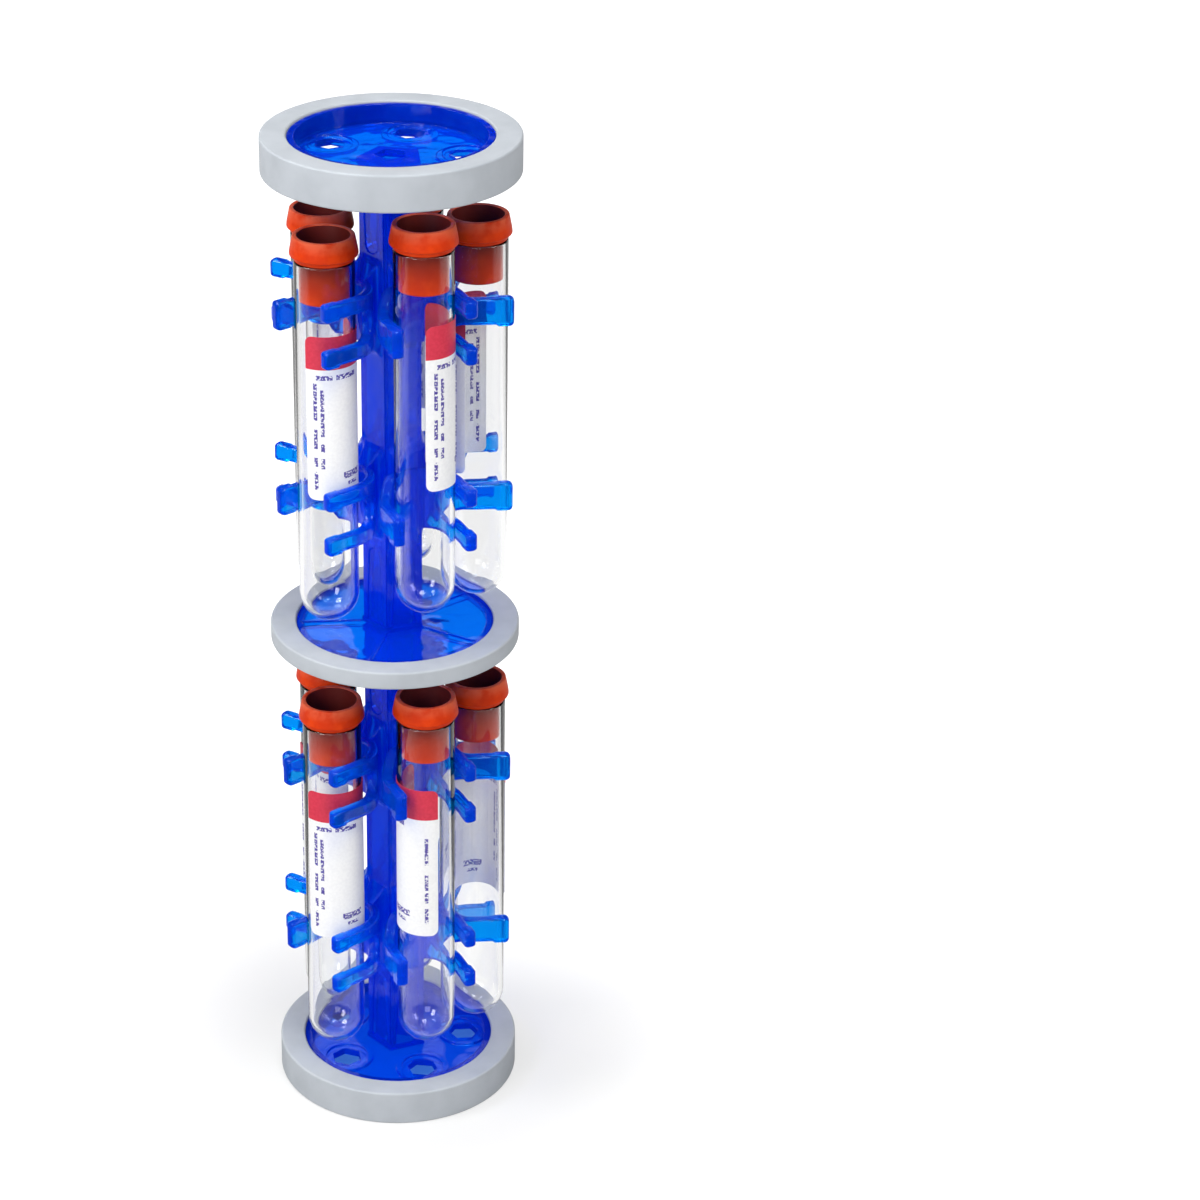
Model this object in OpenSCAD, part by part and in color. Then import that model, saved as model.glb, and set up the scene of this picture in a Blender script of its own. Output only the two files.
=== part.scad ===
// Round rack for stoppered sample tubes, to stand on a bench or turn on driven rollers.
// Clip panels stand as a hollow five-sided column in two tiers between three plates,
// and each plate carries a rubber tyre. The tubes push into the clips from outside.

/* [Glass tubes] */
// Outside diameter of a tube
tube_d = 16; // [14:0.5:17]
// Length of the glass, from the round bottom to the lip
tube_len = 102.5; // [85:0.5:115]
// Thickness of the glass
tube_wall = 1.1; // [0.8:0.1:1.5]

/* [Stoppers] */
// Length of the plug inside the glass
plug_len = 11; // [8:0.5:14]
// Slant at the plug's lower edge
plug_edge = 0.6; // [0.3:0.1:1]
// Height of the collar above the lip
collar_h = 6.5; // [5:0.5:7]
// How far the collar swells out past the glass
collar_swell = 1; // [0.6:0.1:1.4]
// Height of the widest part of the collar above the lip
swell_z = 2.1; // [1.6:0.1:2.6]
// How far the collar's top rim stands out past the glass
rim_swell = 0.05; // [-0.1:0.05:0.4]
// Width of the collar's top rim
rim_w = 1.1; // [0.8:0.1:1.4]
// Depth of the hollow in the stopper's top
hollow_depth = 9; // [6:0.5:11]
// How far the hollow's wall leans in
hollow_lean = 1.2; // [0.6:0.1:1.8]

/* [Labels] */
// Thickness of a label
label_t = 0.13; // [0.1:0.01:0.2]
// How much of the way round the tube a label reaches, in degrees
label_arc = 175; // [150:5:300]
// Bare glass below a label
label_foot = 38; // [30:1:45]
// Bare glass above a label
label_head = 18.6; // [14:0.1:24]

/* [Column and panels] */
// Distance from the rack's axis to the outside of a panel
column_apothem = 7; // [6.6:0.1:8]
// Thickness of a panel
panel_t = 2; // [1.6:0.1:2.4]
// Gap from a panel to its tube
standoff = 7.5; // [6.5:0.1:8.5]
// Height of the lower clip's middle above the panel's lower end
clip_foot = 39.5; // [38:0.5:44]
// Depth of the upper clip's middle below the panel's upper end
clip_head = 36.5; // [35:0.1:40]

/* [Clips] */
// Gap between a tube and its clip
clip_gap = 0.45; // [0.4:0.05:0.6]
// How far the clip's half round lies behind the tube's
clip_back = 1.5; // [1.2:0.1:1.8]
// Thickness of an arm
arm_t = 3; // [2.4:0.1:3.4]
// How far the arms reach out past the tube's outermost line
arm_over = 0.7; // [0:0.1:1]
// Height of each arm of the forked pair
fork_h = 4.3; // [3.6:0.1:5]
// Height of the slot between the forked arms
fork_slot = 8.5; // [8:0.1:10]
// Height of the wide arm
wide_h = 7.3; // [6:0.1:8]
// Length of the pad at an arm's tip
pad_len = 4.8; // [4:0.1:6]
// How much thicker than its arm a pad is
pad_swell = 0.35; // [0.1:0.05:0.6]
// Rounding of a pad's edges
pad_round = 1.3; // [0.8:0.1:1.6]
// Thickness of the clip's stem at the panel
stem_root_t = 7; // [5:0.1:8]
// Thickness of the stem at the clip
stem_tip_t = 4.4; // [3:0.1:5]
// How far the stem rises above the clip where it meets the panel
stem_rise = 4.5; // [3:0.1:6]

/* [Plates] */
// Height of an end plate's tyre
end_h = 10; // [9:0.5:12]
// Height of the middle plate's tyre
mid_h = 5; // [4.6:0.1:6]
// Spare height in a tier beyond the glass length
tier_spare = 26; // [24:0.5:32]
// Depth of an end plate's floor below the tyre's face
floor_recess = 2.2; // [1.8:0.1:2.6]
// Thickness of an end plate's floor
floor_t = 2.1; // [1.8:0.1:2.6]
// Depth of the middle plate's faces below the tyre's faces
mid_recess = 0.8; // [0.6:0.1:1]
// Thickness of the plates' rims
rim_wall = 1.8; // [1.4:0.1:2.4]
// How far the rims stand back from the tyres' faces
rim_inset = 0.6; // [0.3:0.1:0.9]
// Diameter of the round boss under a tube
boss_d = 15; // [13:0.5:16]
// How far the bosses stay inside the rim's outside
boss_in = 0.35; // [0.2:0.05:0.9]
// Height of the boss
boss_h = 1; // [0.8:0.1:1.2]
// Width of the boss's raised edge
boss_edge = 1.6; // [1.2:0.1:2]
// Size of the six-sided hole in the boss, corner to corner
hex_hole_d = 8.6; // [6:0.1:9.4]
// Width of the middle plate's thin ribs
rib_w = 0.8; // [0.6:0.1:1.2]
// Height of the middle plate's thin ribs
rib_h = 0.5; // [0.3:0.1:0.55]

/* [Hubs] */
// How far the plinth under the column stands out past the panels
plinth_out = 0.25; // [0.1:0.05:0.4]
// Height of the plinth
plinth_h = 1.4; // [1.1:0.1:1.7]
// Height of the hub inside the column
hub_h = 17; // [12:0.5:18]
// Thickness of the hub's wall
hub_wall = 1.3; // [1:0.1:1.6]
// Height of the tongues that hold the panels
tongue_h = 22; // [20:0.5:24]
// Width of a tongue at its foot
tongue_foot_w = 6.6; // [6:0.1:6.8]
// Radius of a tongue's round end
tongue_tip_r = 2.2; // [1.8:0.1:2.6]
// How far a tongue's face lies below the panel's
tongue_shy = 0.3; // [0.2:0.05:0.5]

/* [Tyres] */
// Outside diameter of the tyres
tyre_d = 68; // [67:0.5:76]
// Width of a tyre from its bore to its tread
tyre_w = 7; // [6:0.1:7.4]
// Rounding of a tyre's edges
tyre_round = 0.6; // [0.4:0.1:1.6]
// Radius of the rib in a tyre's bore
tyre_rib_r = 0.9; // [0.6:0.1:1.1]

/* [Hidden] */
// Gap between pieces that are pushed together
push_gap = 0.1;
// Gap around a tongue in its notch
tongue_gap = 0.15;
// Gap between a label and its glass
label_gap = 0.02;

// The column's sides, one tube to a side, with the first tube at the front
sides = 5;
step = 360 / sides;
function side_turn(k) = -90 + k * step;
tiers = ["lower", "upper"];

// How far above its tier's floor each tube was pushed in, from the front tube round to the left one
seats = [[11, 5.4, 7.5, 5.2, 6.6], [12.4, 7.1, 8, 5.2, 7.1]];
// How far each label's middle is turned from straight outwards
label_turns = [[-85, 88, 60, 120, 84], [69, 154, 70, -100, 100]];

tube_r = tube_d / 2;
bore_r = tube_r - tube_wall;
tube_circle_r = column_apothem + standoff + tube_r;
clip_r = tube_r + clip_gap;
clip_outer_r = clip_r + arm_t;
clip_depth = clip_outer_r + clip_back;
slot_depth = bore_r + clip_back;
pad_t = arm_t + pad_swell;
arm_reach = tube_r + arm_over;
clip_half_h = fork_slot / 2 + fork_h;
fork_z = (fork_slot + fork_h) / 2;

tier_h = tube_len + tier_spare;
total_h = 2 * end_h + mid_h + 2 * tier_h;
mid_z = end_h + tier_h;
tier_floor = [end_h, mid_z + mid_h];
panel_z = [end_h - floor_recess + plinth_h, tier_floor[1] - mid_recess + plinth_h];
panel_len = total_h - panel_z[0] - panel_z[1];
clip_zs = [clip_foot, panel_len - clip_head];

tyre_bore_r = tyre_d / 2 - tyre_w;
rim_r = tyre_bore_r - push_gap;
boss_circle_r = rim_r - boss_in - boss_d / 2;
hub_apothem = column_apothem - panel_t - push_gap;
plinth_apothem = column_apothem + plinth_out;
mid_web_t = mid_h - 2 * mid_recess;
// Where the middle plate's ribs begin, clear of the plinth's corners
rib_in = plinth_apothem / cos(step / 2) + push_gap;

blue = [0.03, 0.2, 0.85];
grey = [0.8, 0.82, 0.83];
rust = [0.78, 0.27, 0.1];
paper = [0.96, 0.96, 0.96];
glass = [0.85, 0.9, 0.95, 0.4];

$fn = 96;
// Longer than any piece, for cuts that go right through
beyond = total_h;

// Rectangle from the origin with round corners
module rounded_rect(w, h, r) {
    translate([r, 0]) square([w - 2 * r, h]);
    translate([0, r]) square([w, h - 2 * r]);
    for (x = [r, w - r], y = [r, h - r]) translate([x, y]) circle(r);
}

// Regular outline with a flat side facing each tube
module hub_outline(apothem) {
    rotate(side_turn(0) + step / 2) circle(r = apothem / cos(step / 2), $fn = sides);
}

// Tapered tab with a round end, standing on its foot, for the tongues and their notches
module tongue_outline(grow = 0) {
    r = tongue_tip_r + grow;
    half_foot = tongue_foot_w / 2 + grow;
    centre = tongue_h - tongue_tip_r;
    lean = acos(r / norm([half_foot, centre])) - atan2(centre, half_foot);
    shoulder = [r * cos(lean), centre + r * sin(lean)];
    translate([0, centre]) circle(r);
    polygon([[-half_foot, 0], [half_foot, 0], shoulder, [-shoulder[0], shoulder[1]]]);
}

// Tongue-shaped block on the first side of the column, from one distance to another along the side's normal
module tongue_block(near, far, grow = 0) {
    translate([near, 0, 0]) rotate([90, 0, 90]) linear_extrude(far - near) tongue_outline(grow);
}

// Rubber ring with round edges, and a rib in its bore that sits in the rim's groove
module tyre(h) {
    rotate_extrude() {
        translate([tyre_bore_r, 0]) rounded_rect(tyre_w, h, tyre_round);
        translate([tyre_bore_r + tyre_rib_r / 2, h / 2]) circle(tyre_rib_r);
    }
}

// Groove around a rim of height h for the tyre's rib
module rim_groove(h) {
    rotate_extrude() translate([tyre_bore_r + tyre_rib_r / 2, h / 2]) circle(tyre_rib_r + push_gap);
}

// Plinth, hollow hub and tongues that hold five panels, standing on z = 0
module hub() {
    difference() {
        union() {
            linear_extrude(plinth_h) hub_outline(plinth_apothem);
            linear_extrude(plinth_h + hub_h) hub_outline(hub_apothem);
            for (k = [0:sides - 1])
                rotate(side_turn(k)) translate([0, 0, plinth_h])
                    tongue_block(hub_apothem - hub_wall, column_apothem - tongue_shy);
        }
        hub_hole();
    }
}

// Five-sided opening through a plate into the hollow column
module hub_hole() {
    translate([0, 0, -beyond]) linear_extrude(2 * beyond) hub_outline(hub_apothem - hub_wall);
}

// Cup with its floor towards the tubes, standing with its open side on z = 0
module end_plate() {
    floor_top = end_h - floor_recess;
    difference() {
        union() {
            rotate_extrude() {
                translate([rim_r - rim_wall, rim_inset]) square([rim_wall, end_h - 2 * rim_inset]);
                translate([0, floor_top - floor_t]) square([rim_r, floor_t]);
            }
            for (k = [0:sides - 1])
                rotate(side_turn(k)) translate([boss_circle_r, 0, floor_top - floor_t / 2])
                    cylinder(d = boss_d, h = boss_h + floor_t / 2);
        }
        rim_groove(end_h);
        hub_hole();
        for (k = [0:sides - 1]) rotate(side_turn(k)) translate([boss_circle_r, 0, floor_top]) boss_cuts();
    }
}

// Sunk middle of a boss, the same step below the floor, and the six-sided hole
module boss_cuts() {
    sunk_r = boss_d / 2 - boss_edge;
    step_h = boss_h / 2;
    translate([0, 0, boss_h - step_h]) cylinder(r = sunk_r, h = boss_h);
    translate([0, 0, step_h - floor_t - boss_h]) cylinder(r = sunk_r, h = boss_h);
    translate([0, 0, -beyond / 2]) cylinder(d = hex_hole_d, h = beyond, $fn = 6);
}

// Flat disc with thin ribs on each face, from the hub's corners to the rim
module mid_plate() {
    difference() {
        union() {
            rotate_extrude() {
                translate([rim_r - rim_wall, rim_inset]) square([rim_wall, mid_h - 2 * rim_inset]);
                translate([0, mid_recess]) square([rim_r, mid_web_t]);
            }
            for (face = [0, 1])
                translate([0, 0, mid_h / 2]) mirror([0, 0, face]) translate([0, 0, mid_web_t / 2]) mid_ribs();
        }
        rim_groove(mid_h);
        hub_hole();
    }
}

// Thin ribs on one face of the middle plate
module mid_ribs() {
    for (k = [0:sides - 1])
        rotate(side_turn(k) + step / 2) translate([rib_in, -rib_w / 2, -mid_web_t / 4])
            cube([rim_r - rim_wall / 2 - rib_in, rib_w, rib_h + mid_web_t / 4]);
}

// Plan of a clip around its tube: a half round behind it and straight sides that end in pads
module clip_plan() {
    difference() {
        union() {
            translate([-clip_back, 0]) circle(clip_outer_r);
            translate([-clip_back, -clip_outer_r])
                square([clip_back + arm_reach - pad_round, 2 * clip_outer_r]);
            for (side = [0, 1]) mirror([0, side])
                translate([arm_reach - pad_len, clip_r]) rounded_rect(pad_len, pad_t, pad_round);
        }
        translate([-clip_back, 0]) circle(clip_r);
        translate([-clip_back, -clip_r]) square([beyond, 2 * clip_r]);
    }
}

// Side view of a pad, centred on its arm
module pad_side(arm_h) {
    pad_h = arm_h + 2 * pad_swell;
    translate([arm_reach - pad_len, -pad_h / 2]) rounded_rect(pad_len, pad_h, pad_round);
}

// Side view of the forked pair of arms, with a slot that ends round behind the tube
module fork_side() {
    slot_r = fork_slot / 2;
    difference() {
        translate([-clip_depth, -clip_half_h])
            square([clip_depth + arm_reach - pad_round, 2 * clip_half_h]);
        translate([slot_r - slot_depth, 0]) circle(slot_r);
        translate([slot_r - slot_depth, -slot_r]) square([beyond, fork_slot]);
    }
    for (side = [-1, 1]) translate([0, side * fork_z]) pad_side(fork_h);
}

// Side view of the wide arm, which flares in two hollow curves to the clip's full height
module wide_side() {
    flare_r = clip_half_h - wide_h / 2;
    root = flare_r - slot_depth;
    difference() {
        translate([-clip_depth, -clip_half_h]) square([clip_depth + root, 2 * clip_half_h]);
        for (side = [-1, 1]) translate([root, side * clip_half_h]) circle(flare_r);
    }
    translate([-clip_depth, -wide_h / 2]) square([clip_depth + arm_reach - pad_round, wide_h]);
    pad_side(wide_h);
}

// Stem from the panel to the back of a clip, wider and taller at its root
module clip_stem() {
    root = column_apothem - tube_circle_r - panel_t / 2;
    tip = -clip_back - clip_r - arm_t / 2;
    root_half_t = stem_root_t / 2;
    tip_half_t = stem_tip_t / 2;
    root_half_h = clip_half_h + stem_rise;
    intersection() {
        translate([0, 0, -beyond / 2]) linear_extrude(beyond)
            polygon([[root, -root_half_t], [tip, -tip_half_t], [tip, tip_half_t], [root, root_half_t]]);
        rotate([90, 0, 0]) translate([0, 0, -beyond / 2]) linear_extrude(beyond)
            polygon([[root, -root_half_h], [tip, -clip_half_h], [tip, clip_half_h], [root, root_half_h]]);
    }
}

// One clip with its tube's axis on Z, open towards +X: forked arms on one side, the wide arm on the other
module clip() {
    intersection() {
        translate([0, 0, -beyond / 2]) linear_extrude(beyond) clip_plan();
        union() {
            rotate([90, 0, 0]) linear_extrude(beyond) wide_side();
            mirror([0, 1, 0]) rotate([90, 0, 0]) linear_extrude(beyond) fork_side();
        }
    }
    clip_stem();
}

// Panel for one side of the column, facing +X, with mitred edges, a notch at each end and two clips
module panel() {
    inner = column_apothem - panel_t;
    mitre = tan(step / 2);
    seam = push_gap / 2;
    difference() {
        union() {
            linear_extrude(panel_len) polygon([
                [inner, -inner * mitre + seam], [column_apothem, -column_apothem * mitre + seam],
                [column_apothem, column_apothem * mitre - seam], [inner, inner * mitre - seam]
            ]);
            for (z = clip_zs) translate([tube_circle_r, 0, z]) clip();
        }
        for (end = [0, 1])
            translate([0, 0, panel_len / 2]) mirror([0, 0, end]) translate([0, 0, -panel_len / 2])
                tongue_block(0, beyond, tongue_gap);
    }
}

// Glass with a half-round bottom, standing on z = 0, with a round lip
module tube() {
    lip_r = tube_wall / 2;
    rotate_extrude() {
        difference() {
            tube_half(tube_r, tube_len - lip_r);
            translate([0, tube_wall]) tube_half(bore_r, tube_len);
        }
        translate([tube_r - lip_r, tube_len - lip_r]) circle(lip_r);
    }
}

// Half of a round-bottomed outline
module tube_half(r, h) {
    intersection() {
        union() {
            translate([0, r]) circle(r);
            translate([0, r]) square([r, h - r]);
        }
        square([r, h]);
    }
}

// Rubber stopper with its collar's underside on z = 0: a swelling collar, a deep hollow and a plug
module stopper() {
    plug_r = bore_r - push_gap;
    rim_r_out = tube_r + rim_swell;
    rim_r_in = rim_r_out - rim_w;
    rim_z = collar_h - rim_w / 2;
    swell_r = tube_r + collar_swell;
    difference() {
        union() {
            rotate_extrude() polygon([
                [0, rim_z], [rim_r_out, rim_z], [swell_r, swell_z], [swell_r - swell_z, 0], [plug_r, 0],
                [plug_r, plug_edge - plug_len], [plug_r - plug_edge, -plug_len], [0, -plug_len]
            ]);
            rotate_extrude() translate([swell_r - swell_z, swell_z]) circle(swell_z);
            rotate_extrude() translate([rim_r_out - rim_w / 2, rim_z]) circle(rim_w / 2);
        }
        translate([0, 0, collar_h - hollow_depth])
            cylinder(h = hollow_depth, r1 = rim_r_in - hollow_lean, r2 = rim_r_in);
    }
}

// Paper label around the glass, its middle facing +X
module label() {
    rotate(-label_arc / 2) rotate_extrude(angle = label_arc)
        translate([tube_r + label_gap, label_foot]) square([label_t, tube_len - label_foot - label_head]);
}

// Puts a piece on the axis of a tier's tube, at the height where that tube was pushed in
module at_tube(t, k) {
    rotate(side_turn(k)) translate([tube_circle_r, 0, tier_floor[t] + seats[t][k]]) children();
}

// Cup under the lower tier, open downwards
module bottom_plate() {
    color(blue) end_plate();
}

// Disc between the tiers
module middle_plate() {
    color(blue) translate([0, 0, mid_z]) mid_plate();
}

// Cup over the upper tier, open upwards
module top_plate() {
    color(blue) translate([0, 0, total_h]) mirror([0, 0, 1]) end_plate();
}

// Hub that holds the lower panels' feet
module bottom_hub() {
    color(blue) translate([0, 0, end_h - floor_recess]) hub();
}

// Hub that holds the lower panels' heads
module middle_lower_hub() {
    color(blue) translate([0, 0, mid_z + mid_recess]) mirror([0, 0, 1]) hub();
}

// Hub that holds the upper panels' feet
module middle_upper_hub() {
    color(blue) translate([0, 0, mid_z + mid_h - mid_recess]) hub();
}

// Hub that holds the upper panels' heads
module top_hub() {
    color(blue) translate([0, 0, total_h - end_h + floor_recess]) mirror([0, 0, 1]) hub();
}

// Tyre that the rack stands on
module bottom_tyre() {
    color(grey) tyre(end_h);
}

// Narrow tyre of the middle plate
module middle_tyre() {
    color(grey) translate([0, 0, mid_z]) tyre(mid_h);
}

// Tyre of the top plate
module top_tyre() {
    color(grey) translate([0, 0, total_h - end_h]) tyre(end_h);
}

// Clip panel of a tier, in its place around the column
module clip_panel(t, k) {
    color(blue) translate([0, 0, panel_z[t]]) rotate(side_turn(k)) panel();
}

// Glass of a tube, in its clips
module glass_tube(t, k) {
    color(glass) at_tube(t, k) tube();
}

// Stopper of a tube, pushed in to its collar
module tube_stopper(t, k) {
    color(rust) at_tube(t, k) translate([0, 0, tube_len + push_gap]) stopper();
}

// Label of a tube, turned as the tube was put in
module tube_label(t, k) {
    color(paper) at_tube(t, k) rotate(label_turns[t][k]) label();
}

bottom_plate();
middle_plate();
top_plate();
bottom_hub();
middle_lower_hub();
middle_upper_hub();
top_hub();
bottom_tyre();
middle_tyre();
top_tyre();
for (t = [0:len(tiers) - 1], k = [0:sides - 1]) {
    clip_panel(t, k);
    glass_tube(t, k);
    tube_stopper(t, k);
    tube_label(t, k);
}
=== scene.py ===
# %% [markdown]
# # Dressing a tube roller rack
#
# The rack is a column of clear blue plastic clips between three rubber-tyred plates. It carries ten glass
# tubes, each with a rust-coloured rubber stopper and a paper label. The solid model already holds every size,
# so this script only gives each piece its look. Lengths are metres, and `mm` keeps small sizes readable.

import math

import bmesh
import bpy
from mathutils import Matrix, Vector


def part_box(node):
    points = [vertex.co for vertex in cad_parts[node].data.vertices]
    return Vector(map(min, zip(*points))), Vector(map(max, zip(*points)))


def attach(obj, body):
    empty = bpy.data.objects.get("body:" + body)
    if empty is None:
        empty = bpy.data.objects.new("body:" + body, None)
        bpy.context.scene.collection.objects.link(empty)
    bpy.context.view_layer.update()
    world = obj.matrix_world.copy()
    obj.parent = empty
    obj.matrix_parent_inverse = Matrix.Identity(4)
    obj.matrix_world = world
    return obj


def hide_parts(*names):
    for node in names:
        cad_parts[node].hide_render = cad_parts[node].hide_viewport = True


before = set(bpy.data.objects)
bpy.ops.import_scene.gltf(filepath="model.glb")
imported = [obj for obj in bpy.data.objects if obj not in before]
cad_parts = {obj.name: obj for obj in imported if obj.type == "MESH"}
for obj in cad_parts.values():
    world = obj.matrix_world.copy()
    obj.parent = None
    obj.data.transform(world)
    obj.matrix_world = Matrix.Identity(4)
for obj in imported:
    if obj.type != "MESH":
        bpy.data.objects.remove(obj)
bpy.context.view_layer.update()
mm = 0.001
TIERS = ("lower", "upper")
SIDES = 5
print("pieces in the solid model:", len(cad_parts))

# %% [markdown]
# ## The camera
#
# A photograph is a measurement. A long lens keeps the uprights nearly parallel, and the rack stands left of the
# middle, so the lens is shifted sideways instead of turned: turning it would lean the column. Every number
# below was read off the 1200-pixel frame, and the camera's place follows from them.

# %% Camera
PHOTO_PX = 1200
FOCAL_PX = 3424
OPTICAL_AXIS_PX = Vector((450.7, 595.4))
RACK_AXIS_PX = Vector((394.8, 595.4))
SIGHT_HEIGHT = 150 * mm
SIGHT_DEPTH = 935.5 * mm
PITCH = math.radians(25.95)
HEADING = math.radians(22)
SENSOR = 36

ahead = Vector((math.sin(HEADING) * math.cos(PITCH), math.cos(HEADING) * math.cos(PITCH), -math.sin(PITCH)))
rightward = Vector((math.cos(HEADING), -math.sin(HEADING), 0))
sideways = (RACK_AXIS_PX.x - OPTICAL_AXIS_PX.x) / FOCAL_PX * SIGHT_DEPTH

camera = bpy.data.objects.new("camera", bpy.data.cameras.new("camera"))
camera.data.sensor_width = SENSOR
camera.data.lens = FOCAL_PX / PHOTO_PX * SENSOR
camera.data.shift_x = 0.5 - OPTICAL_AXIS_PX.x / PHOTO_PX
camera.data.shift_y = OPTICAL_AXIS_PX.y / PHOTO_PX - 0.5
camera.location = Vector((0, 0, SIGHT_HEIGHT)) - ahead * SIGHT_DEPTH - rightward * sideways
camera.rotation_euler = ahead.to_track_quat("-Z", "Y").to_euler()
camera.data.clip_start = 10 * mm
camera.data.clip_end = 50
bpy.context.scene.collection.objects.link(camera)
bpy.context.scene.camera = camera
print("camera at", [round(c, 3) for c in camera.location])

# %% [markdown]
# ## Shader sums
#
# A finish is mostly arithmetic on positions: distances, masks and noise. Wiring that by hand hides the sum in a
# tangle of nodes. One small class wraps a socket, so a line such as `1 - mask` adds its own Math node, and one
# method makes every other kind of node.

# %% Sockets that add up
class Wire:
    """A shader socket that can be used in Python sums."""

    def __init__(self, tree, socket=None):
        self.tree = tree
        self.socket = socket

    def node(self, kind, settings=None, inputs=None, output=0):
        """Adds one node: its settings first, then the values or links of its sockets."""
        made = self.tree.nodes.new("ShaderNode" + kind)
        settings = dict(settings or {})
        stops = settings.pop("stops", None)
        for name, value in settings.items():
            setattr(made, name, value)
        if stops:
            ramp = made.color_ramp.elements
            while len(ramp) < len(stops):
                ramp.new(1)
            for element, (place, colour) in zip(ramp, stops):
                element.position = place
                element.color = colour
        for name, value in (inputs or {}).items():
            if isinstance(value, Wire):
                self.tree.links.new(value.socket, made.inputs[name])
            else:
                made.inputs[name].default_value = value
        return Wire(self.tree, made.outputs[output])

    def math(self, operation, *values):
        return self.node("Math", {"operation": operation}, dict(enumerate(values)))

    def __add__(self, other):
        return self.math("ADD", self, other)

    __radd__ = __add__

    def __sub__(self, other):
        return self.math("SUBTRACT", self, other)

    def __rsub__(self, other):
        return self.math("SUBTRACT", other, self)

    def __mul__(self, other):
        return self.math("MULTIPLY", self, other)

    __rmul__ = __mul__

    def __truediv__(self, other):
        return self.math("DIVIDE", self, other)

    def __gt__(self, other):
        return self.math("GREATER_THAN", self, other)

    def __lt__(self, other):
        return self.math("LESS_THAN", self, other)

    def __abs__(self):
        return self.math("ABSOLUTE", self)

    def smooth(self, low, high):
        """0 below low, 1 above high, and a soft step between them."""
        settings = {"interpolation_type": "SMOOTHSTEP"}
        return self.node("MapRange", settings, {"Value": self, "From Min": low, "From Max": high})

    def mix(self, first, second):
        """A colour between two others, with this value as the share of the second."""
        return self.node("Mix", {"data_type": "RGBA"}, {0: self, 6: first, 7: second}, output=2)


def srgb(red, green, blue):
    """A colour as a picture program shows it, 0 to 255, in the linear values that shaders use."""
    def linear(value):
        share = value / 255
        return share / 12.92 if share <= 0.04045 else ((share + 0.055) / 1.055) ** 2.4
    return (linear(red), linear(green), linear(blue), 1)


def finish_named(name):
    """A new material, its nodes cleared, as the start of a Wire and its output node."""
    material = bpy.data.materials.new(name)
    material.use_nodes = True
    material.node_tree.nodes.clear()
    start = Wire(material.node_tree)
    output = material.node_tree.nodes.new("ShaderNodeOutputMaterial")
    return material, start, output


def noise(start, place, scale, detail=2, rough=0.5, output=0):
    """Cloudy noise at so many lumps to the metre."""
    inputs = {"Vector": place, "Scale": scale, "Detail": detail, "Roughness": rough}
    return start.node("TexNoise", None, inputs, output)


def place_on(start):
    """Position in the rack's own frame, in metres."""
    return start.node("TexCoord", output=3)


# %% [markdown]
# ## The stage
#
# The rack was shot on a white sweep. Glossy plastic is mostly a mirror of its room, so the room matters more than
# the lamps: the white lies behind the rack, and the side towards the camera is dark, which is why the blue stays
# deep. Light Path tells the kinds of ray apart, so each kind sees its own room while the light that falls on the
# pieces keeps one plain level.

# %% World
DAYLIGHT = 0.36
DARK_ROOM = 0.015
FRONT_ROOM = 0.06
OVERHEAD = 0.16
backwards = Vector((math.sin(HEADING), math.cos(HEADING), 0))


def ray_kinds(start):
    """Shares for rays from the camera, straight through clear pieces, through after a mirror, and off gloss."""
    path = start.node("LightPath").socket.node.outputs
    camera_ray, clear_ray, glossy_ray, matt_depth, depth, clear_depth = (Wire(start.tree, path[name]) for name in (
        "Is Camera Ray", "Is Transmission Ray", "Is Glossy Ray", "Diffuse Depth", "Ray Depth", "Transmission Depth"))
    looking = matt_depth < 0.5
    straight = depth - clear_depth < 0.5
    through = clear_ray * looking
    return camera_ray, through * straight, through * (1 - straight), glossy_ray * (1 - clear_ray) * looking


def along(vector, direction):
    """How far a vector reaches in a fixed direction."""
    return vector.node("VectorMath", {"operation": "DOT_PRODUCT"}, {0: vector, 1: direction}, output=1)


world = bpy.data.worlds.new("white_sweep")
bpy.context.scene.world = world
world.use_nodes = True
world.node_tree.nodes.clear()
sky = Wire(world.node_tree)
camera_ray, straight_ray, bent_ray, mirror_ray = ray_kinds(sky)
toward = sky.node("TexCoord", output=0)
behind = along(toward, backwards)
height = along(toward, (0, 0, 1))
above = height.smooth(0.5, 0.95)
backdrop = behind.smooth(0.2, 0.7) * (1 - height.smooth(0.05, 0.3))
mirrored = backdrop + (1 - backdrop) * (above * (OVERHEAD - DARK_ROOM) + DARK_ROOM)
clear = behind.smooth(-0.75, -0.05) * (1 - FRONT_ROOM) + FRONT_ROOM
lighting = (1 - camera_ray - straight_ray - bent_ray - mirror_ray) * DAYLIGHT
strength = camera_ray + straight_ray + bent_ray * clear + mirror_ray * mirrored + lighting
background = sky.node("Background", None, {"Color": (1, 1, 1, 1), "Strength": strength})
world_out = world.node_tree.nodes.new("ShaderNodeOutputWorld")
world.node_tree.links.new(background.socket, world_out.inputs["Surface"])
print("daylight", DAYLIGHT, "dark room", DARK_ROOM)

# %% [markdown]
# The floor follows the same plan: white to the camera and through glass, with a soft shadow left in it, dark in
# the mirror in front of the rack and white behind it. Under the rack its glow is painted blue: painted light that
# stands for light coming through the blue plate.

# %% Floor
FLOOR_GLOW = 0.5
FLOOR_SHADE = (0.36, 0.36, 0.36, 1)
# Painted light: under the rack the floor glows this blue, standing in for light through the blue plate.
PAINTED_LIGHT_UNDER_RACK = srgb(70, 116, 196)

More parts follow.
